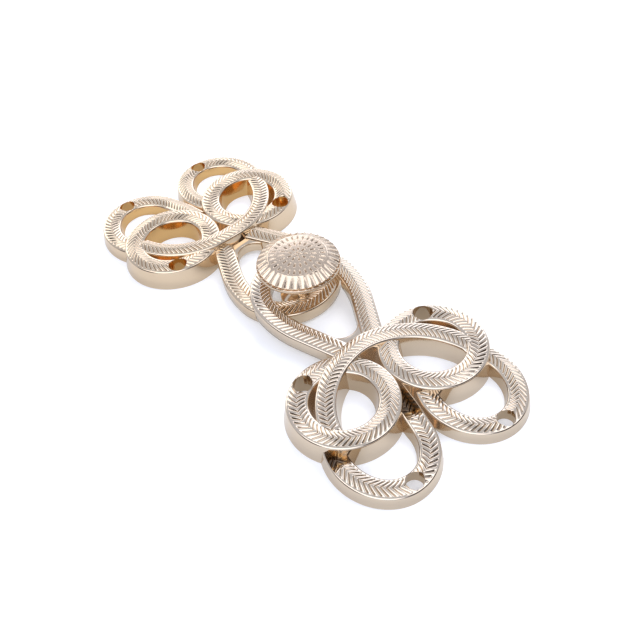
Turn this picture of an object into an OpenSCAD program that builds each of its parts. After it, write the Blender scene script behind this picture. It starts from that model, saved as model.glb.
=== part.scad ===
// Fastened two-part frog clasp in cast, plated metal, lying on its back.
// Each half is a knot of two inner rings, two outer loops and an arch, with a neck loop. The eye
// half's neck loop lies over the stud half's, and the button stands up through the eye.
// The X axis runs along the eye half. Z is up, and the underside is at Z = 0.

/* [Knot] */
// Outer radius of an inner ring
ring_r = 6.5; // [6.2:0.1:6.8]
// Width of an inner ring's strand
ring_w = 2.6; // [2.4:0.1:2.8]
// Distance of an inner ring's centre from the half's own axis
ring_y = 6.45; // [6.3:0.05:6.48]
// Height of an inner ring's top edges
ring_h = 2.7; // [2.5:0.1:2.9]
// Middle radius of an outer loop
outer_r = 5; // [4.8:0.1:5.1]
// Width of an outer loop's strand
outer_w = 2.6; // [2.4:0.1:2.7]
// Height of an outer loop's top edges at its middle
outer_h = 1.7; // [1.6:0.1:1.9]
// Slope of an outer loop, falling away from the rings, in degrees
outer_tilt = 2.5; // [1:0.5:4]
// Middle radius of the arch across the rings
arch_r = 10.25; // [10.15:0.05:10.4]
// Width of the arch's strand
arch_w = 2.4; // [2.2:0.1:2.6]
// Height of the arch's top edges on the half's own axis
arch_h = 3.35; // [3.25:0.05:3.5]
// Height of the crest of a strand above its top edges
crown = 0.3; // [0.2:0.05:0.4]
// How far a knot strand's sides lean out towards the back, as a slope
lean = 0.17; // [0.12:0.01:0.18]

/* [Neck loops] */
// Middle radius of the neck loop's round end
tip_r = 5.8; // [5.6:0.1:6]
// Width of the neck loop's strand
neck_w = 2.7; // [2.5:0.1:2.8]
// Thickness of the neck loop at its edges
neck_t = 1.75; // [1.6:0.05:1.8]
// Height of the eye's top edges where it leaves the arch
eye_h = 2.6; // [2.5:0.05:2.7]
// Rise of the eye towards its round end, in degrees
eye_rise = 4.2; // [4:0.1:4.6]
// Height of the top edges of the stud half's neck loop
stud_h = 2.3; // [2.1:0.05:2.35]
// Clear height between the stud half's neck loop and the eye that lies over it
cross_gap = 0.12; // [0.1:0.01:0.15]

/* [Button] */
// Radius of the button at its skirt
cap_r = 5.2; // [5:0.1:5.4]
// Height of the button's underside
cap_z = 6.4; // [6:0.1:6.6]
// Number of flutes around the button's rim band
flutes = 36; // [24:1:40]
// Radius of the button's post
post_r = 1.3; // [1.2:0.05:1.4]
// Radius of the seat that carries the post
seat_r = 2.8; // [2.6:0.1:3]

/* [Fit and place] */
// Radius of a sewing hole in an inner ring
hole_r = 1.15; // [0.95:0.05:1.15]
// Angle between the two halves, in degrees
bend = 6.4; // [0:0.2:10]
// Clear space between pieces of the button
gap = 0.05; // [0.03:0.01:0.08]

/* [Hidden] */
$fn = 96;

// Places along a half's own axis. Zero is the line through its ring centres.
outer_x = 7.2;
outer_y = 6.35;
arch_x = 5.15;
arch_half_angle = 77;
arch_fall = 4.6;
tail_x = 2.4;
tail_y = 0.95;
tail_lift = 0.5;
eye_tip_x = 16.5;
stud_tip_x = 16.2;
button_on_eye = 17.75;
button_on_stud = 19.5;
rebate_room = 0.25;

// Strands: smooth shoulder beside the crown, how far one length runs on into the next, and how
// much slimmer it is all round.
shoulder_w = 0.35;
shoulder_h = 0.18;
overlap = 0.4;
step = 0.02;
sink = 1;

// Neck loop flanks: an arc that turns in by neck_taper, then a straight run to the arch.
flank_r = 12.75;
neck_taper = 25;
neck_run = 5.5;
neck_root_x = 6.2;
neck_under_arch = 1.5;
throat_x = 9.75;
throat_r = 2.25;
throat_drop = 0.3;
web_x = 9;
web_half_w = 2.6;

// Heights of the seat and the button.
seat_z = 1.75;
spigot_r = 0.9;
spigot_up = 0.8;
band_z = 7.28;
field_r = 3.65;
field_z = 8.05;
field_rise = 0.2;
edge_r = 5.1;
flute_depth = 0.3;

// Sewing holes, on the middle of their strands. Those in the outer loops are a little smaller.
ring_hole_angle = 153.6;
ring_mid_r = ring_r - ring_w / 2;
outer_hole_r = hole_r - 0.1;

// The bounding box is centred on the origin, so the button's place follows from both far ends.
outer_foot_r = outer_r + outer_w / 2 + lean * outer_h;
far_eye = button_on_eye + outer_x + outer_foot_r;
far_stud = (button_on_stud + outer_x) * cos(bend) + outer_y * sin(bend) + outer_foot_r;
side_eye = ring_y + ring_r + lean * ring_h;
side_stud = (button_on_stud + outer_x) * sin(bend) + outer_y * cos(bend) + outer_foot_r;
button_x = (far_stud - far_eye) / 2;
button_y = (max(side_stud, side_eye) - side_eye) / 2;

// Section of a strand: sides from base to the edge height h, which lean out downwards by the
// slope side_lean, and a low crown.
function strand_section(w, h, base, side_lean) = [
    [-w / 2 - side_lean * (h - base), base],
    [w / 2 + side_lean * (h - base), base],
    [w / 2, h],
    [w / 2 - shoulder_w, h + shoulder_h],
    [0, h + crown],
    [-w / 2 + shoulder_w, h + shoulder_h],
    [-w / 2, h],
];

// Strand bent to radius r about the origin, from one angle to another.
module arc_strand(r, from, to, w, h, base, side_lean = 0) {
    rotate([0, 0, from])
        rotate_extrude(angle = to - from)
            translate([r, 0])
                polygon(strand_section(w, h, base, side_lean));
}

// Straight strand that leaves the origin along +X.
module straight_strand(run, w, h, base, side_lean = 0) {
    rotate([90, 0, 90])
        linear_extrude(height = run)
            polygon(strand_section(w, h, base, side_lean));
}

module mirrored_pair() {
    children();
    mirror([0, 1, 0]) children();
}

module inner_ring() {
    translate([0, ring_y, 0])
        rotate_extrude()
            translate([ring_mid_r, 0])
                polygon(strand_section(ring_w, ring_h, 0, lean));
}

// Outer loop: it comes out from under its ring and goes back under it.
module outer_loop() {
    translate([outer_x, outer_y, 0])
        rotate([0, outer_tilt, 0])
            arc_strand(outer_r, -131, 131, outer_w, outer_h, -sink, lean);
}

// One leg of the arch, from the half's own axis down into the ring.
module arch_leg() {
    rotate([-arch_fall, 0, 0])
        translate([arch_x, 0, 0])
            arc_strand(arch_r, 180 - arch_half_angle, 182, arch_w, arch_h, -sink, lean);
}

// The near loop's inner strand, which crosses over the far one between the rings.
module crossing_tail() {
    translate([tail_x, -tail_y, 0])
        straight_strand(outer_x - tail_x, outer_w, outer_h + tail_lift, 0, lean);
}

module sewing_holes() {
    mirrored_pair() {
        translate([ring_mid_r * cos(ring_hole_angle), ring_y + ring_mid_r * sin(ring_hole_angle), -sink])
            cylinder(h = ring_h + 3 * sink, r = hole_r);
        translate([outer_x + outer_r, outer_y, -sink])
            cylinder(h = outer_h + 3 * sink, r = outer_hole_r);
    }
}

module below_floor() {
    translate([-30, -20, -2 * sink])
        cube([50, 40, 2 * sink]);
}

// Knot of one half, with its neck side towards -X.
module knot() {
    difference() {
        union() {
            mirrored_pair() {
                inner_ring();
                outer_loop();
                arch_leg();
            }
            crossing_tail();
        }
        below_floor();
        sewing_holes();
    }
}

// One side of the neck loop: the flank, then the straight run to under the arch. Each starts a
// little way inside the length before it, and is a hair slimmer, so the surfaces never coincide.
module neck_side(tip_x, h, base) {
    translate([-tip_x, tip_r - flank_r, 0])
        arc_strand(flank_r, 90 - neck_taper, 92, neck_w - 2 * step, h - step, base + step);
    translate([-tip_x + flank_r * sin(neck_taper), tip_r - flank_r + flank_r * cos(neck_taper), 0])
        rotate([0, 0, -neck_taper])
            translate([-overlap, 0, 0])
                straight_strand(overlap + neck_run + neck_under_arch, neck_w - 4 * step, h - 2 * step,
                    base + 2 * step);
}

// Web that closes the neck loop at the arch, with a round throat.
module throat_web(h, base) {
    difference() {
        translate([-web_x, -web_half_w, base])
            cube([web_x - neck_root_x + overlap, 2 * web_half_w, h - throat_drop - base]);
        translate([-throat_x, 0, base - sink])
            cylinder(h = h + 2 * sink, r = throat_r);
    }
}

module neck_loop(tip_x, h) {
    translate([-tip_x, 0, 0])
        arc_strand(tip_r, 90, 270, neck_w, h, h - neck_t);
    mirrored_pair() neck_side(tip_x, h, h - neck_t);
    throat_web(h, h - neck_t + 3 * step);
}

// The eye, rising to its round end. Its underside has a rebate where the stud half's neck loop
// passes beneath, so its round end sinks into that loop's hollow.
module eye_neck() {
    difference() {
        translate([-neck_root_x, 0, 0])
            rotate([0, eye_rise, 0])
                translate([neck_root_x, 0, 0])
                    neck_loop(eye_tip_x, eye_h);
        translate([-button_on_eye, 0, 0])
            rotate([0, 0, bend])
                translate([stud_tip_x - button_on_stud, 0, 0])
                    rebate();
    }
}

// Room for the round end of the stud half's neck loop, about that end's own centre.
module rebate() {
    difference() {
        cylinder(h = stud_h + crown + cross_gap, r = tip_r + neck_w / 2 + rebate_room);
        translate([0, 0, -sink])
            cylinder(h = stud_h + 3 * sink, r = tip_r - neck_w / 2 - rebate_room);
    }
}

module on_eye_half() {
    translate([button_x + button_on_eye, button_y, 0]) children();
}

module on_stud_half() {
    translate([button_x, button_y, 0])
        rotate([0, 0, bend])
            mirror([1, 0, 0])
                translate([button_on_stud, 0, 0]) children();
}

module eye_half() {
    color("wheat")
        on_eye_half() {
            knot();
            eye_neck();
        }
}

module stud_half() {
    color("wheat")
        on_stud_half()
            difference() {
                union() {
                    knot();
                    neck_loop(stud_tip_x, stud_h);
                    translate([-button_on_stud, 0, stud_h - neck_t])
                        cylinder(h = seat_z - stud_h + neck_t, r = seat_r);
                }
                translate([-button_on_stud, 0, 0]) {
                    cylinder(h = seat_z + sink, r = spigot_r + gap);
                    translate([0, 0, seat_z])
                        cylinder(h = stud_h, r = post_r + 2 * gap);
                }
            }
}

// Shouldered post: its foot goes through the seat, and its head into the button.
module button_post() {
    color("tan")
        translate([button_x, button_y, 0]) {
            translate([0, 0, seat_z + gap])
                cylinder(h = cap_z - seat_z - 2 * gap, r = post_r);
            translate([0, 0, stud_h - neck_t])
                cylinder(h = cap_z - stud_h + neck_t + spigot_up, r = spigot_r);
        }
}

// Half section of the button: skirt, sloping rim band and raised field.
function cap_section() = [
    [0, cap_z],
    [cap_r - 0.2, cap_z],
    [cap_r, cap_z + 0.2],
    [edge_r, band_z],
    [field_r, field_z],
    [field_r / 2, field_z + field_rise * 0.75],
    [0, field_z + field_rise],
];

// One flute: a three-sided groove that follows the slope of the rim band.
module flute() {
    slope = atan((field_z - band_z) / (edge_r - field_r));
    translate([edge_r, 0, band_z])
        rotate([0, slope, 0])
            translate([-(edge_r - field_r) / cos(slope), 0, 0])
                rotate([45, 0, 0])
                    translate([0, -flute_depth / 2, -flute_depth / 2])
                        cube([2 * (edge_r - field_r), flute_depth, flute_depth]);
}

module button_cap() {
    color("wheat")
        translate([button_x, button_y, 0])
            difference() {
                rotate_extrude() polygon(cap_section());
                for (i = [0 : flutes - 1])
                    rotate([0, 0, i * 360 / flutes]) flute();
                translate([0, 0, cap_z - sink])
                    cylinder(h = spigot_up + sink + gap, r = spigot_r + gap);
            }
}

eye_half();
stud_half();
button_post();
button_cap();
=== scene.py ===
"""Looks of a fastened two-part frog clasp in cast, plated metal with a herringbone relief.

The strands, the button, its post and its seat are swept and turned surfaces. Each half is worked
out in its own frame, in millimetres: x = 0 on the line through its ring centres, the neck towards
-x, y = 0 on its own axis and z = 0 on its back. place() then puts it where the solids are.
"""

import math

import bpy
import numpy as np
from mathutils import Matrix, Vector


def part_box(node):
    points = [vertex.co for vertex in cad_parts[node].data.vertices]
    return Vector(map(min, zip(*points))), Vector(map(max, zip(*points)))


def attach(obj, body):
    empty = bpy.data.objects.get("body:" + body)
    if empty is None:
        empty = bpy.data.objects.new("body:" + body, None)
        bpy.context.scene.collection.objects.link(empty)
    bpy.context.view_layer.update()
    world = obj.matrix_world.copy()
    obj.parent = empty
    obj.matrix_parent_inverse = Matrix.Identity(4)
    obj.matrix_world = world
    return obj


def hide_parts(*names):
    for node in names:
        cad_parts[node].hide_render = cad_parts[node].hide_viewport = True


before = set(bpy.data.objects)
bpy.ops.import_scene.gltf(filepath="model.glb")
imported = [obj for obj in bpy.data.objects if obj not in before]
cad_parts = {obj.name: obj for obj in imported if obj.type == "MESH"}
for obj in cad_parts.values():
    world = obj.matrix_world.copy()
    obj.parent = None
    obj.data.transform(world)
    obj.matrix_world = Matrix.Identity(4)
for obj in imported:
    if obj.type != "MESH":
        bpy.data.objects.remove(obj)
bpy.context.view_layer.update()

MM = 0.001
HALVES = ("eye", "stud")
# How far the button's axis is from each half's ring centres, and the bend between the halves.
TO_BUTTON = {"eye": 17.75, "stud": 19.5}
BEND = math.radians(6.4)
cap_low, cap_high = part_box("button_cap")
BUTTON = np.array([(cap_low[0] + cap_high[0]) / 2, (cap_low[1] + cap_high[1]) / 2]) / MM

# Centre lines of the knot: rings, and the ovals of the outer loops (centre and half axes).
RING_Y = 6.45
RING_RADIUS = 5.2
LOOP_X, LOOP_Y = 6.58, 6.355
LOOP_RX, LOOP_RY = 5.655, 4.895
# Widths of the strands at the top, and radii of the sewing holes.
RING_WIDTH = 2.6
LOOP_WIDTH = 2.4
NECK_WIDTH = 2.7
RING_HOLE = 1.15
LOOP_HOLE = 1.05

# Section of a strand: height of its crown, radius of its rims, and how far a knot strand's walls
# lean out for each millimetre down.
CROWN = 0.28
RIM = 0.28
LEAN = 0.17
# Chamfer round the foot of a strand.
FOOT_EDGE = 0.05
# Herringbone: share of the width that it covers, length of a tooth, sweep and depth.
BAND = 0.75
PITCH = 0.62
NARROW_PITCH = 0.605
SLANT = 0.95
DEPTH = 0.13
# Rows of points across one tooth, as shares of the pitch from the bottom of one cut to the next.
TOOTH = np.array([0, 0.1, 0.2, 0.32, 0.5, 0.68, 0.8, 0.9])
# Painted reflection and shade: how deep in the relief the walls of a half's hollows and sewing
# holes count, which paints them golden brown, and the floor of a pocket, which paints it nearly
# black.
HOLLOW_PAINTED_SHADE = {"eye": 1.05, "stud": 1.3}
POCKET_PAINTED_SHADE = 1.6
# Points nearer than this are one point.
WELD = 2e-5


def place(half, points):
    """Points of one half, in mm in its own frame, carried to the clasp's frame in metres.

    The eye half is only moved along x. The stud half is mirrored in x, then turned about the
    button's axis by the bend.
    """
    x, y = points[:, 0] + TO_BUTTON[half], points[:, 1]
    if half == "stud":
        x, y = (
            -x * math.cos(BEND) - y * math.sin(BEND),
            -x * math.sin(BEND) + y * math.cos(BEND),
        )
    return np.column_stack([x + BUTTON[0], y + BUTTON[1], points[:, 2]]) * MM


# ---------------------------------------------------------------------------------------------
# Paths: rows of (x, y) closely spaced along a strand's centre line.


def arc(cx, cy, rx, ry, start, end, count=700):
    """Ellipse arc: x = cx + rx cos t, y = cy + ry sin t, with t from start to end in degrees."""
    t = np.radians(np.linspace(start, end, count))
    return np.column_stack([cx + rx * np.cos(t), cy + ry * np.sin(t)])


def line(start, end):
    """Straight run between two points."""
    t = np.linspace(0, 1, 200)[:, None]
    return np.asarray(start) * (1 - t) + np.asarray(end) * t


def neck_path(tip_x):
    """Neck loop: run, flank, round end, flank, run, from the +y root round to the -y root.

    The round end is a half circle about (-tip_x, 0). Each flank is an arc that curves inwards
    until it has turned by taper, and the run goes straight on to the root.
    """
    tip_r, flank_r, taper, run = 5.78, 12.75, 25, 6.9
    side = arc(-tip_x, tip_r - flank_r, flank_r, flank_r, 90 - taper, 90)
    lean = np.radians(-taper)
    root = side[0] + run * np.array([math.cos(lean), math.sin(lean)])
    side = np.concatenate([line(root, side[0]), side[1:]])
    tip = arc(-tip_x, 0, tip_r, tip_r, 90, 270)
    return np.concatenate([side, tip[1:-1], (side * [1, -1])[::-1]])


def loop_path(side):
    """Outer loop: an oval from under its ring, round and back, and its width along the way.

    The -y one ends in the tail that crosses over the other. Its strand swells by 0.14 mm, all on
    the outer side, from the far end round to where it goes under its ring.
    """
    end = 132 if side > 0 else 80
    oval = arc(LOOP_X, side * LOOP_Y, LOOP_RX, LOOP_RY, -132, end)
    if side > 0:
        return oval, LOOP_WIDTH
    swell = 0.14 * smooth(-5.0, -9.0, oval[:, 1])
    outward = oval - [LOOP_X, -LOOP_Y]
    oval = oval + (swell / 2 / np.hypot(*outward.T))[:, None] * outward
    tail = line(oval[-1], (1.9, -0.85))[1:]
    width = np.concatenate([LOOP_WIDTH + swell, np.full(len(tail), LOOP_WIDTH)])
    return np.concatenate([oval, tail]), width


# ---------------------------------------------------------------------------------------------
# Surfaces. Each returns points in mm, faces as rows of corner numbers, and how deep in the
# relief each point lies: 0 on smooth metal, 1 in the bottom of a cut, and more on the walls of
# hollows and sewing holes and on a pocket's floor, which marks painted reflection and shade there.


def smooth(a, b, x):
    """Smooth step: 0 below a, 1 above b, and 3t^2 - 2t^3 between."""
    t = np.clip((x - a) / (b - a), 0, 1)
    return t * t * (3 - 2 * t)


def quads(rows, cols, first, wrap=False, flip=False):
    """Faces of a grid of points numbered row by row. wrap joins the last row to the first."""
    i, j = np.meshgrid(np.arange(rows if wrap else rows - 1), np.arange(cols - 1), indexing="ij")
    k = (i + 1) % rows
    a, b, c, d = i * cols + j, k * cols + j, k * cols + j + 1, i * cols + j + 1
    f = np.stack([a, b, c, d] if not flip else [d, c, b, a], axis=-1)
    return f.reshape(-1, 4) + first


def joined(points, faces, depth):
    """Merges points that lie together, and drops faces that collapse to less than a triangle."""
    _, keep, where = np.unique(
        np.round(points / WELD).astype(np.int64), axis=0, return_index=True, return_inverse=True
    )
    where = where.ravel()
    f = where[faces]
    same = f == np.roll(f, -1, axis=1)
    good = same.sum(axis=1) <= 1
    return points[keep], f[good], depth[keep]


def strand(
    path,
    height,
    base,
    width,
    turn,
    closed=False,
    lean=LEAN,
    pitch=PITCH,
    pocket=None,
    hollow=(0, 0),
):
    """A cast strand: its section is carried along a path.

    path is the centre line; height, base and width are one value or one for each path point.
    At distance v from the centre line the top stands at height + CROWN (1 - (|v| / edge)^1.5).
    It ends in a rounded rim, a wall that leans out by the slope lean, and a flat back. Within the
    band around the centre line it is cut into teeth. At a distance t from the middle of a tooth,
    in half pitches, the cut is DEPTH (0.4 t^2 + 0.6 ((t - 0.5) / 0.5)^1.3) deep, its last term
    only for t above 0.5. The line u = constant is swept back by SLANT |v|, so the cuts meet in
    chevrons that point along turn.
    pocket (x, y, near, far, drop) lowers the band by drop where the centre line is nearer to
    (x, y) than near, fading out at far, and marks the sunk part so deep in the relief that it is
    painted nearly black, which is painted shade. hollow is the side, 1 for left and -1 for right,
    whose wall looks into a hollow, and how deep in the relief that wall counts, which paints it
    golden brown as painted reflection and shade.
    """
    step = np.hypot(*np.diff(path, axis=0).T)
    run = np.concatenate([[0], np.cumsum(step)])
    total = run[-1]
    tangent = np.gradient(path, run, axis=0)
    if closed:
        tangent[0] = tangent[-1] = (tangent[0] + tangent[-1]) / 2
    tangent /= np.hypot(*tangent.T)[:, None]
    height, base, width = [np.full(run.shape, size) for size in (height, base, width)]

    def at(table, s):
        """The table's value at distance s along the path; past an open end, the end's value."""
        return np.interp(s % total if closed else s, run, table)

    teeth = max(1, round(total / pitch))
    pitch = total / teeth
    # u is a row's distance along the path. Near an open end the rows straighten.
    u = ((np.arange(teeth)[:, None] + TOOTH) * pitch).ravel()
    sweep = np.full_like(u, SLANT)
    if not closed:
        u = np.append(u, total)
        sweep = SLANT * smooth(0, 1.2, u) * smooth(0, 1.2, total - u)

    # Columns of points: out across the top, down round the rim, then the wall and the back.
    spread = np.concatenate([np.linspace(0, BAND, 8), [0.79, 0.86, 0.94, 1.0]])
    bend = np.radians([18, 36, 54, 72, 90])
    points, faces, depth = [], [], []
    first = 0
    u2, sweep2 = u[:, None], sweep[:, None]
    for side in (1, -1):
        # v and s are a point's distance from the centre line and its distance along it.
        nominal = at(width, u)[:, None] / 2
        v = (nominal - RIM) * spread
        s = u2 - turn * sweep2 * np.minimum(v, BAND * nominal)
        h = at(height, s)
        mask = 1 - smooth(BAND * 0.86, BAND * 1.06, v / nominal)
        if not closed:
            mask *= smooth(0, 0.3, u2) * smooth(0, 0.3, total - u2)
        t = np.abs(2 * (u2 / pitch % 1) - 1)
        groove = mask * (0.4 * t**2 + 0.6 * np.clip((t - 0.5) / 0.5, 0, None) ** 1.3)
        z = h + CROWN * (1 - np.clip(v / (nominal - RIM), 0, 1) ** 1.5) - DEPTH * groove
        if pocket:
            away = np.hypot(at(path[:, 0], s) - pocket[0], at(path[:, 1], s) - pocket[1])
            sunk = (1 - smooth(pocket[2], pocket[3], away)) * (1 - smooth(0.72, 0.9, v / nominal))
            z = z - pocket[4] * sunk
            # Painted shade: the pocket's floor counts so deep in the relief that it is painted
            # nearly black.
            groove = np.maximum(groove, POCKET_PAINTED_SHADE * sunk)
        last = s[:, -1:]
        h1, b1 = at(height, last), at(base, last)
        rim_v = nominal - RIM + RIM * np.sin(bend)
        rim_z = h1 - RIM + RIM * np.cos(bend)
        tall = h1 - RIM - b1
        foot = nominal + lean * tall
        foot_v = [(nominal + foot) / 2, foot, foot - FOOT_EDGE, 0 * b1]
        foot_z = [b1 + tall / 2, b1 + FOOT_EDGE, b1, b1]
        foot_s = [last, last, last, s[:, :1]]
        vv = np.concatenate([v, rim_v] + foot_v, axis=1)
        zz = np.concatenate([z, rim_z] + foot_z, axis=1)
        ss = np.concatenate([s] + [last] * len(bend) + foot_s, axis=1)
        # Painted reflection and shade: the wall on the side that looks into a hollow counts deep
        # in the relief, which paints it golden brown.
        wall = np.full((len(u), 1 + len(foot_v)), hollow[1] * (side == hollow[0]))
        gg = np.concatenate([groove, np.zeros((len(u), len(bend) - 1)), wall], axis=1)
        x, y = at(path[:, 0], ss), at(path[:, 1], ss)
        tx, ty = at(tangent[:, 0], ss), at(tangent[:, 1], ss)
        if not closed:
            past = ss - np.clip(ss, 0, total)
            x, y = x + past * tx, y + past * ty
        points.append(np.stack([x - side * vv * ty, y + side * vv * tx, zz], -1).reshape(-1, 3))
        depth.append(gg.ravel())
        rows, cols = vv.shape
        faces.append(quads(rows, cols, first, closed, flip=side < 0))
        first += rows * cols
    if not closed:
        other = rows * cols
        j = np.arange(cols - 1)
        for row, flip in ((0, False), (rows - 1, True)):
            a = row * cols + j
            end = np.stack([a, a + 1, a + 1 + other, a + other], -1)
            faces.append(end[:, ::-1] if flip else end)
    return joined(np.concatenate(points), np.concatenate(faces), np.concatenate(depth))


def mesh_of(name, points, faces, depth):
    """Mesh with smooth faces, whose point attribute is the depth in the relief: in the cuts, and
    as a mark for painted reflection and shade on the walls of hollows and holes and on a pocket's
    floor.
    """
    mesh = bpy.data.meshes.new(name)
    mesh.from_pydata(points.tolist(), [], faces)
    mesh.update()
    mesh.polygons.foreach_set("use_smooth", np.ones(len(mesh.polygons), bool))
    layer = mesh.attributes.new("groove", "FLOAT", "POINT")
    layer.data.foreach_set("value", depth.astype(np.float32))
    return mesh


def corners(faces):
    """Faces as lists of corner numbers, without the repeats of a quad that is a triangle."""
    return [list(dict.fromkeys(f)) for f in faces.tolist()]


def drilled(surface, x, y, radius, rim_z, deep):
    """Cuts a sewing hole through a strand, widened at 45 degrees above the height rim_z.

    deep is how deep in the relief its wall counts, which paints the wall golden brown as painted
    reflection and shade. Returns the cut surface in triangles.
    """
    wide, high = radius + 0.6, rim_z + 0.6
    profile = [[0, -1], [radius, -1], [radius, rim_z], [wide, high], [0, high]]
    tool = turned(np.array(profile)[::-1], 72)
    meshes = [
        mesh_of("strand", surface[0], surface[1].tolist(), surface[2]),
        mesh_of("drill", tool[0] + [x, y, 0], corners(tool[1]), tool[2]),
    ]
    work, cutter = [bpy.data.objects.new(m.name, m) for m in meshes]
    for obj in (work, cutter):
        bpy.context.scene.collection.objects.link(obj)
    cut = work.modifiers.new("hole", "BOOLEAN")
    cut.operation, cut.solver, cut.object = "DIFFERENCE", "EXACT", cutter
    graph = bpy.context.evaluated_depsgraph_get()
    mesh = bpy.data.meshes.new_from_object(
        work.evaluated_get(graph), preserve_all_data_layers=True, depsgraph=graph
    )
    mesh.calc_loop_triangles()
    points = np.empty(3 * len(mesh.vertices))
    mesh.vertices.foreach_get("co", points)
    faces = np.empty(3 * len(mesh.loop_triangles), np.int32)
    mesh.loop_triangles.foreach_get("vertices", faces)
    depth = np.empty(len(mesh.vertices), np.float32)
    mesh.attributes["groove"].data.foreach_get("value", depth)
    for obj in (work, cutter):
        bpy.data.objects.remove(obj)
    for used in meshes + [mesh]:
        bpy.data.meshes.remove(used)
    points = points.reshape(-1, 3)
    # Painted reflection and shade on the hole's wall, which comes out golden brown.
    depth[np.hypot(points[:, 0] - x, points[:, 1] - y) < radius + 0.01] = deep
    return points, faces.reshape(-1, 3), depth


def turned(profile, count, ripple=None):
    """A turned surface: the profile's (radius, z) rows are carried round the z axis.

    ripple(radius, angle) gives, for each point, how much it is lowered and how deep in the relief
    it lies.
    """
    t = np.arange(count) * 2 * np.pi / count
    r, z = profile[:, 0], profile[:, 1]
    t2, r2 = np.meshgrid(t, r, indexing="ij")
    drop, deep = ripple(r2, t2) if ripple else (0 * r2, 0 * r2)
    z2 = z - drop
    points = np.stack([r2 * np.cos(t2), r2 * np.sin(t2), z2], -1).reshape(-1, 3)
    return joined(points, quads(count, len(r), 0, wrap=True, flip=True), deep.ravel())


def web(height, base):
    """The web at the throat: a ruled sheet from the round throat back to under the arch.

    Its front edge is the circle of radius 2.25 about x = -9.75, for angles up to 62 degrees each
    side of the axis. Its back edge is the line x = -5.6. Each grid line joins the two.
    """
    a = np.radians(np.linspace(-62, 62, 49))[:, None]
    front = np.concatenate([-9.75 + 2.25 * np.cos(a), 2.25 * np.sin(a)], axis=1)
    back = np.concatenate([-5.6 + 0 * a, 2.6 * np.sin(a) / math.sin(math.radians(62))], axis=1)
    t = np.array([0, 0.0, 0.03, 0.07, 0.5, 1, 1, 0.5, 0.0, 0])
    lift = np.array([0.5, 0.93, 0.985, 1, 1, 1, 0, 0, 0, 0.5])
    xy = front[:, None, :] * (1 - t[None, :, None]) + back[:, None, :] * t[None, :, None]
    z = np.broadcast_to(base + (height - base) * lift, xy.shape[:2])
    points = np.concatenate([xy, z[..., None]], -1).reshape(-1, 3)
    faces = quads(len(a), len(t), 0)
    ends = np.array([np.arange(len(t))[::-1], (len(a) - 1) * len(t) + np.arange(len(t))])
    return points, faces, np.zeros(len(points)), ends


# ---------------------------------------------------------------------------------------------
# Material.


def node(tree, kind, place_at, **settings):
    """Adds a node and sets its attributes, or its inputs where the name is one of theirs."""
    n = tree.nodes.new(kind)
    n.location = place_at
    for key, value in settings.items():
        if hasattr(n, key):
            setattr(n, key, value)
        else:
            n.inputs[key].default_value = value
    return n


def fill_ramp(ramp, stops, tone=(1, 1, 1)):
    """Gives a new colour ramp its stops: position from 0 to 1 and colour, multiplied by tone."""
    for position, _ in stops[1:-1]:
        ramp.elements.new(position)
    for element, (_, colour) in zip(ramp.elements, stops):
        element.color = (*np.multiply(colour, tone), 1)


def cast_surface():
    """Node group: the fine unevenness of a tumbled casting, as a height and a roughness.

    The roughness goes from Smooth to Rough in broad patches. Cloud is the patches' own value.
    """
    group = bpy.data.node_groups.new("cast_surface", "ShaderNodeTree")
    for way, names in (
        ("INPUT", ("Scale", "Smooth", "Rough")),
        ("OUTPUT", ("Height", "Roughness", "Cloud")),
    ):
        for name in names:
            group.interface.new_socket(name, in_out=way, socket_type="NodeSocketFloat")
    given = node(group, "NodeGroupInput", (-800, 0))
    out = node(group, "NodeGroupOutput", (600, 0))
    where = node(group, "ShaderNodeTexCoord", (-800, -200))
    fine = node(group, "ShaderNodeTexNoise", (-500, 100), Detail=3.0)
    broad = node(group, "ShaderNodeTexNoise", (-500, -200), Scale=140.0, Detail=2.0)
    link = group.links.new
    link(where.outputs["Object"], fine.inputs["Vector"])
    link(where.outputs["Object"], broad.inputs["Vector"])
    link(given.outputs["Scale"], fine.inputs["Scale"])
    blend = node(group, "ShaderNodeMapRange", (100, 0))
    blend.inputs["From Min"].default_value = 0.35
    blend.inputs["From Max"].default_value = 0.65
    link(broad.outputs["Fac"], blend.inputs["Value"])
    link(given.outputs["Smooth"], blend.inputs["To Min"])
    link(given.outputs["Rough"], blend.inputs["To Max"])
    link(fine.outputs["Fac"], out.inputs["Height"])
    link(blend.outputs["Result"], out.inputs["Roughness"])
    link(broad.outputs["Fac"], out.inputs["Cloud"])
    return group


CAST_SURFACE = cast_surface()
# The plating's colour by the depth in the relief, which is first multiplied by DEPTH_SHARE.
# Down to the bottom of a cut it gets darker and browner, partly patina and partly painted shade.
# The golden stop is painted reflection and shade on the walls of hollows and sewing holes, and
# the nearly black last stop is painted shade on the floor of a pocket.
DEPTH_SHARE = 0.62
PLATING_AND_PAINTED_SHADE = (
    (0, (0.79, 0.64, 0.48)),
    (0.3, (0.77, 0.62, 0.46)),
    (0.62, (0.60, 0.47, 0.34)),
    (0.81, (0.76, 0.49, 0.22)),
    (1, (0.10, 0.07, 0.05)),
)


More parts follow.
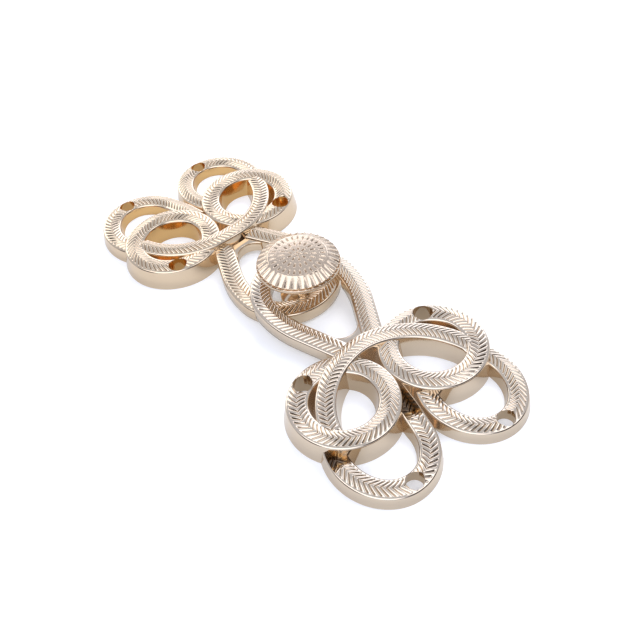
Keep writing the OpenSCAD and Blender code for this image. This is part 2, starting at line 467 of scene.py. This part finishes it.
def plated_metal(name, tone, grain=0.12, roughness=(0.07, 0.13)):
    """Champagne plating, darker and browner down in the cuts, partly patina and partly painted
    shade.
    The walls of hollows and sewing holes come out golden brown, painted reflection and shade, and
    a pocket's floor nearly black, painted shade.

    tone multiplies the colours. grain is the strength of the sandy unevenness left by the mould,
    and roughness is its least and its greatest value.
    """
    mat = bpy.data.materials.new(name)
    mat.use_nodes = True
    tree = mat.node_tree
    shader = tree.nodes["Principled BSDF"]
    shader.inputs["Metallic"].default_value = 1.0
    surface = node(tree, "ShaderNodeGroup", (-700, -200))
    surface.node_tree = CAST_SURFACE
    surface.inputs["Scale"].default_value = 2600.0
    surface.inputs["Smooth"].default_value = roughness[0]
    surface.inputs["Rough"].default_value = roughness[1]
    groove = node(tree, "ShaderNodeAttribute", (-700, 200), attribute_name="groove")
    tint = node(tree, "ShaderNodeValToRGB", (-450, 200))
    fill_ramp(tint.color_ramp, PLATING_AND_PAINTED_SHADE, tone)
    level = node(tree, "ShaderNodeMath", (-600, 300), operation="MULTIPLY")
    level.inputs[1].default_value = DEPTH_SHARE
    cloud = node(tree, "ShaderNodeMix", (-200, 200), data_type="RGBA", blend_type="MULTIPLY")
    cloud.inputs["Factor"].default_value = 0.12
    bump = node(tree, "ShaderNodeBump", (-200, -200))
    bump.inputs["Strength"].default_value = grain
    bump.inputs["Distance"].default_value = 0.00002
    # Painted light: the metal itself gives off a faint cool glow, met by rays still between the
    # strands after three reflections, in place of the light bounced on between them. Each
    # reflection warms it, so that deep gaps come out golden brown.
    ray = node(tree, "ShaderNodeLightPath", (-700, -500))
    lost = node(tree, "ShaderNodeMath", (-450, -500), operation="GREATER_THAN")
    lost.inputs[1].default_value = 2.5
    painted_gold = node(tree, "ShaderNodeMix", (-200, -500), data_type="RGBA")
    painted_gold.inputs["A"].default_value = (0, 0, 0, 1)
    painted_gold.inputs["B"].default_value = (0.22, 0.25, 0.34, 1)
    shader.inputs["Emission Strength"].default_value = 1.0
    link = tree.links.new
    link(groove.outputs["Fac"], level.inputs[0])
    link(level.outputs[0], tint.inputs["Fac"])
    link(tint.outputs["Color"], cloud.inputs["A"])
    link(surface.outputs["Cloud"], cloud.inputs["B"])
    link(cloud.outputs["Result"], shader.inputs["Base Color"])
    link(surface.outputs["Roughness"], shader.inputs["Roughness"])
    link(surface.outputs["Height"], bump.inputs["Height"])
    link(bump.outputs["Normal"], shader.inputs["Normal"])
    link(ray.outputs["Glossy Depth"], lost.inputs[0])
    link(lost.outputs[0], painted_gold.inputs["Factor"])
    link(painted_gold.outputs["Result"], shader.inputs["Emission Color"])
    return mat


# One plating on both halves: the eye half's cooler tone and the stud half's warmer tone are
# painted light, standing in for the room's light falling differently on the two halves.
METAL = {
    "eye": plated_metal("eye_half_plating_painted_cool_light", (0.97, 1.0, 1.035)),
    "stud": plated_metal("stud_half_plating_painted_warm_light", (1.0, 0.985, 0.94)),
}
GRAINED = plated_metal("grained_button_plating", (0.96, 0.94, 0.92), 1.0, (0.17, 0.28))


def piece(name, half, parts, replaces, metal=None):
    """One object from surfaces given in a half's own frame. It rides on the clasp's only body.

    A part is points, faces and depths, and may have further rows of faces. The stud half is
    mirrored, so its faces are turned round.
    """
    points, faces, depth, first = [], [], [], 0
    for part in parts:
        p, f, d = part[:3]
        points.append(p)
        depth.append(d)
        flip = half == "stud"
        for rows in [f] + list(part[3:]):
            rows = rows[:, ::-1] if flip else rows
            faces += corners(rows + first)
        first += len(p)
    mesh = mesh_of(name, place(half, np.concatenate(points)), faces, np.concatenate(depth))
    mesh.set_sharp_from_angle(angle=math.radians(50))
    mesh.materials.append(metal or METAL[half])
    obj = bpy.data.objects.new(name, mesh)
    bpy.context.scene.collection.objects.link(obj)
    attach(obj, "root")
    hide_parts(*replaces)
    return obj


# ---------------------------------------------------------------------------------------------
# The two halves.


def knot(half):
    """Rings, outer loops and arch of one half.

    Each ring has its sewing hole at 153.6 degrees. Each outer loop falls by 2.4 degrees towards
    its far end, where its sewing hole is, and the -y one's tail climbs by 0.5 mm. The arch falls
    by 4.6 degrees to both sides and dips by 0.4 mm over the rings' far sides.
    """
    hole_at = math.radians(153.6)
    # Painted reflection and shade: how deep the walls of this half's hollows and sewing holes
    # count, which paints them golden brown.
    painted_gold = HOLLOW_PAINTED_SHADE[half]
    rings, loops = [], []
    for side in (1, -1):
        path = arc(0, side * RING_Y, RING_RADIUS, RING_RADIUS, 0, side * 360, 1600)
        ring = strand(path, 2.7, 0, RING_WIDTH, turn=-1, closed=True, hollow=(side, painted_gold))
        hole_x = RING_RADIUS * math.cos(hole_at)
        hole_y = side * (RING_Y + RING_RADIUS * math.sin(hole_at))
        rings.append(drilled(ring, hole_x, hole_y, RING_HOLE, 2.82, painted_gold))
        path, wide = loop_path(side)
        x = path[:, 0]
        top = 1.76 - (x - 6.6) * math.tan(math.radians(2.4))
        if side < 0:
            tail = smooth(8.5, 4.0, x) * (path[:, 1] > -2.2)
            top = top + 0.5 * tail
        # Where the eye's -y loop goes under its ring it sinks into a pocket, whose floor is
        # painted nearly black as painted shade.
        under_ring = (0, -RING_Y, 7.1, 8.3, 1.1) if (half, side) == ("eye", -1) else None
        loop = strand(path, top, 0, wide, turn=side, pocket=under_ring, hollow=(1, painted_gold))
        loops.append(drilled(loop, 12.2, side * LOOP_Y, LOOP_HOLE, 1.68, painted_gold))
    path = arc(5.15, 0, 10.25, 10.25, 98, 262)
    from_ring = np.hypot(path[:, 0], np.abs(path[:, 1]) - RING_Y)
    top = 3.41 - math.tan(math.radians(4.6)) * np.sqrt(path[:, 1] ** 2 + 0.6)
    top = top - 0.4 * smooth(4.0, 5.1, from_ring) * (path[:, 0] > 0)
    arch = strand(path, top, 0, LOOP_WIDTH, turn=1, pitch=NARROW_PITCH)
    solid = half + "_half"
    piece(half + "_rings", half, rings, [solid])
    piece(half + "_outer_loops", half, loops, [solid])
    piece(half + "_arch", half, [arch], [solid])


def rebated(surface):
    """Lifts the eye's underside to 2.72 mm over the stud half's neck loop.

    That loop's round end has its centre 3.3 mm beyond the button's axis, turned by the bend. The
    lift holds for distances from 4.2 to 7.4 mm from it.
    """
    points, faces, depth = surface
    beyond = 3.3
    middle = [-TO_BUTTON["eye"] - beyond * math.cos(BEND), -beyond * math.sin(BEND)]
    away = np.hypot(*(points[:, :2] - middle).T)
    over = (away > 4.2) & (away < 7.4)
    points[over, 2] = np.maximum(points[over, 2], 2.72)
    return joined(points, faces, depth)


def neck(half):
    """Neck loop and web of one half. Both loops are 1.75 mm thick without their crown.

    The eye rises by 4.2 degrees to its round end.
    """
    if half == "eye":
        path = neck_path(16.5)
        top = 2.6 + math.tan(math.radians(4.2)) * (-6.2 - path[:, 0])
        turn, throat = 1, web(2.45, 1.0)
    else:
        path = neck_path(16.2)
        top = 2.3
        turn, throat = -1, web(2.0, 0.56)
    loop = strand(path, top, top - 1.75, NECK_WIDTH, turn, lean=0, pitch=NARROW_PITCH)
    if half == "eye":
        loop = rebated(loop)
    piece(half + "_neck", half, [loop, throat], [half + "_half"])


for half in HALVES:
    knot(half)
    neck(half)

# ---------------------------------------------------------------------------------------------
# Seat, post and button, on the button's axis. Their profiles are rows of (radius, z).


def on_axis(surface):
    """Moves a turned surface on to the button's axis in the stud half's own frame."""
    points, faces, depth = surface
    return points - [TO_BUTTON["stud"], 0, 0], faces, depth


seat = np.array([[0, 1.74], [2.68, 1.74], [2.78, 1.64], [2.8, 0.62], [2.74, 0.55], [0, 0.55]])
piece("stud_seat", "stud", [on_axis(turned(seat, 96))], ["stud_half"])

stem = np.array(
    [[0, 6.36], [1.5, 6.36], [1.32, 6.0], [1.28, 4.2], [1.32, 2.3], [1.6, 1.81], [0, 1.81]]
)
piece("button_stem", "stud", [on_axis(turned(stem, 64))], ["button_post"])

# The button's scooped band, from its inner to its outer radius, round the raised field.
FLUTES = 36
FIELD_RADIUS = 3.66
BAND_IN, BAND_OUT = 3.7, 5.02
# Inner and outer radius of each ring of cuts, their number and where the first one stands.
FIELD_ROWS = (
    (0.12, 0.5, 4, 0.1),
    (0.68, 1.25, 9, 0.3),
    (1.62, 2.3, 18, 0.0),
    (2.75, 3.45, 29, 0.2),
)


def scoops(r, t):
    """Scoops of the sloping band: how far the metal is cut away, and a mark that paints a faint
    dark line along the sharp edges where the scoops meet, as painted shade.

    Each is a hollow, deepest in its middle as 1 - a^2 and sharp-edged where it meets the next. It
    deepens outwards and runs out through the edge of the band.
    """
    across = 2 * (FLUTES * t / (2 * np.pi) % 1) - 1
    grow = smooth(FIELD_RADIUS, 3.8, r) * (0.05 + 0.15 * (r - BAND_IN) / (BAND_OUT - BAND_IN))
    # The second value is painted shade along the edges where the scoops meet.
    return grow * (1 - across**2), 0.9 * smooth(0.55, 1.0, np.abs(across)) * (grow > 0.02)


def field_cuts(r, t):
    """Rings of short radial cuts on the raised field, each 0.26 mm wide with sloping sides."""
    deep = np.zeros_like(r)
    for inner, outer, count, start in FIELD_ROWS:
        away = np.abs((count * t / (2 * np.pi) + start) % 1 - 0.5) * 2 * np.pi * r / count
        ends = smooth(inner, inner + 0.1, r) * (1 - smooth(outer - 0.1, outer, r))
        deep = np.maximum(deep, ends * (1 - smooth(0.03, 0.13, away)))
    return deep


def button_relief(r, t):
    """The band's scoops and the field's cuts, as a drop in height and a depth in the relief. On
    the band that depth is the painted shade line along the scoops' edges.
    """
    on_band = r <= BAND_OUT + 0.01
    scoop, scooped = scoops(r, t)
    cut = field_cuts(r, t)
    return on_band * scoop + DEPTH * cut, np.maximum(0.9 * cut, on_band * 0.5 * scooped)


# The raised field, the sloping band, its overhanging edge, the skirt and the flat underside.
field = np.linspace(0.0, FIELD_RADIUS, 56)[1:]
dome = 8.02 + 0.21 * (1 - (field / FIELD_RADIUS) ** 2)
slope = np.linspace(BAND_IN, BAND_OUT, 18)
down = 8.0 - 0.68 * (slope - BAND_IN) / (BAND_OUT - BAND_IN)
cap = np.concatenate(
    [
        [[0, 8.23]],
        np.column_stack([field, dome]),
        np.column_stack([slope, down]),
        [[5.04, 7.14], [4.98, 7.04], [4.98, 6.98], [5.12, 6.93], [5.19, 6.86], [5.2, 6.76]],
        [[5.2, 6.6], [5.16, 6.46], [5.06, 6.4]],
        [[4.0, 6.4], [2.0, 6.4], [0, 6.4]],
    ]
)
button = turned(cap, FLUTES * 14, button_relief)
piece("button_top", "stud", [on_axis(button)], ["button_cap"], GRAINED)

# ---------------------------------------------------------------------------------------------
# Floor, light and camera.

floor_mesh = bpy.data.meshes.new("floor")
floor_mesh.from_pydata(
    [(-1.5, -1.5, 0), (1.5, -1.5, 0), (1.5, 1.5, 0), (-1.5, 1.5, 0)], [], [(0, 1, 2, 3)]
)
floor = bpy.data.objects.new("floor", floor_mesh)
bpy.context.scene.collection.objects.link(floor)


def white_paper():
    """Matt white paper. The camera sees it over-exposed, and the metal sees it darker."""
    mat = bpy.data.materials.new("white_paper")
    mat.use_nodes = True
    shader = mat.node_tree.nodes["Principled BSDF"]
    shader.inputs["Roughness"].default_value = 0.6
    shader.inputs["Emission Color"].default_value = (1, 1, 1, 1)
    shader.inputs["Emission Strength"].default_value = 0.33
    ray = node(mat.node_tree, "ShaderNodeLightPath", (-700, 0))
    paper = node(mat.node_tree, "ShaderNodeMix", (-400, 200), data_type="RGBA")
    paper.inputs["A"].default_value = (0.42, 0.42, 0.43, 1)
    paper.inputs["B"].default_value = (0.68, 0.68, 0.69, 1)
    link = mat.node_tree.links.new
    link(ray.outputs["Is Camera Ray"], paper.inputs["Factor"])
    link(paper.outputs["Result"], shader.inputs["Base Color"])
    return mat


floor_mesh.materials.append(white_paper())


def soft_light(name, at, power, colour):
    """A square area light, 0.2 m wide, at one point in metres that faces the clasp.

    It lights the paper and leaves no mirror image in the metal, which shows the room instead.
    """
    data = bpy.data.lights.new(name, "AREA")
    data.shape = "SQUARE"
    data.size = 0.2
    data.energy = power
    data.color = colour
    lamp = bpy.data.objects.new(name, data)
    z = np.array(at, float) / np.linalg.norm(at)
    x = np.cross([0, 1, 0.01], z)
    x /= np.linalg.norm(x)
    lamp.matrix_world = Matrix(np.column_stack([x, np.cross(z, x), z]).tolist()).to_4x4()
    lamp.location = at
    lamp.visible_glossy = False
    bpy.context.scene.collection.objects.link(lamp)


soft_light("back_window", (-0.26, 0.24, 0.34), 1.5, (1, 0.93, 0.82))
soft_light("far_end_window", (0.22, 0.30, 0.34), 0.8, (0.9, 0.95, 1.0))


def direction(bearing, height):
    """The unit vector that points in a bearing round from x and a height, both in radians."""
    return np.array(
        [
            math.cos(height) * math.cos(bearing),
            math.cos(height) * math.sin(bearing),
            math.sin(height),
        ]
    )


def studio_room():
    """The room as the metal sees it: soft panels of light and dark places in a pale room.

    The pale room's brightness follows the height of the direction looked in. Each panel is a
    smooth round patch: its strength runs from 0 to 1 with the cosine of the angle to its middle.
    """
    world = bpy.data.worlds.new("studio_room")
    bpy.context.scene.world = world
    world.use_nodes = True
    tree = world.node_tree
    link = tree.links.new
    where = node(tree, "ShaderNodeTexCoord", (-1300, 0))
    split = node(tree, "ShaderNodeSeparateXYZ", (-1100, 200))
    rise = node(tree, "ShaderNodeValToRGB", (-900, 200))
    link(where.outputs["Generated"], split.inputs[0])
    link(split.outputs["Z"], rise.inputs["Fac"])
    fill_ramp(rise.color_ramp, ROOM)
    room = rise.outputs["Color"]
    for row, (bearing, height, inner, outer, colour) in enumerate(PANELS):
        middle = direction(math.radians(bearing), math.radians(height))
        dot = node(tree, "ShaderNodeVectorMath", (-900, -200 * row), operation="DOT_PRODUCT")
        dot.inputs[1].default_value = middle
        link(where.outputs["Generated"], dot.inputs[0])
        patch = node(tree, "ShaderNodeMapRange", (-700, -200 * row))
        patch.interpolation_type = "SMOOTHSTEP"
        patch.inputs["From Min"].default_value = math.cos(math.radians(outer))
        patch.inputs["From Max"].default_value = math.cos(math.radians(inner))
        link(dot.outputs["Value"], patch.inputs["Value"])
        mix = node(tree, "ShaderNodeMix", (-400, -200 * row), data_type="RGBA")
        mix.inputs["B"].default_value = (*colour, 1)
        link(patch.outputs["Result"], mix.inputs["Factor"])
        link(room, mix.inputs["A"])
        room = mix.outputs["Result"]
    link(room, tree.nodes["Background"].inputs["Color"])


# The pale room's colour by the sine of the height.
ROOM = (
    (0, (0.55, 0.55, 0.60)),
    (0.2, (0.627, 0.6732, 0.8052)),
    (0.5, (0.627, 0.6732, 0.8052)),
    (0.8, (0.646, 0.6936, 0.8296)),
    (1, (0.66, 0.72, 0.86)),
)
# Bearing and height of a panel's middle, its inner and outer radius, all in degrees, and its
# colour.
DARK = (0.05, 0.035, 0.03)
PANELS = (
    (125, 22, 9, 21, (2.1, 2.3, 2.8)),
    (155, 20, 8, 19, (2.2, 2.3, 2.7)),
    (184, 22, 8, 20, (2.2, 2.3, 2.5)),
    (-52, 50, 22, 34, (1.9, 2.0, 2.3)),
    (-108, 57, 10, 20, (2.0, 2.1, 2.4)),
    (62, 62, 8, 18, (2.0, 2.1, 2.4)),
    (18, 32, 14, 25, DARK),
    (46, 18, 10, 22, DARK),
    (-95, 17, 14, 26, DARK),
)
studio_room()

# The camera, solved from the photograph: azimuth, elevation and roll in radians and distance in mm
# about the aim point, and the focal length in pixels of a picture 640 pixels wide.
azimuth, elevation, roll, reach = -0.5306, 0.8197, -0.1128, 102.32
FOCAL_LENGTH, PICTURE_WIDTH = 816.27, 640
aim = np.array([BUTTON[0] + 4.08, BUTTON[1] - 0.26, 0.0])
out = direction(azimuth, elevation)
right = np.cross(-out, [0, 0, 1])
right /= np.linalg.norm(right)
up = np.cross(right, -out)
right, up = (
    math.cos(roll) * right + math.sin(roll) * up,
    -math.sin(roll) * right + math.cos(roll) * up,
)
lens = bpy.data.cameras.new("camera")
lens.sensor_width = 36
lens.lens = FOCAL_LENGTH / PICTURE_WIDTH * lens.sensor_width
lens.clip_start = 0.005
camera = bpy.data.objects.new("camera", lens)
camera.matrix_world = Matrix(np.column_stack([right, up, out]).tolist()).to_4x4()
camera.location = (aim + reach * out) * MM
bpy.context.scene.collection.objects.link(camera)
bpy.context.scene.camera = camera
bpy.context.scene.view_settings.view_transform = "Standard"
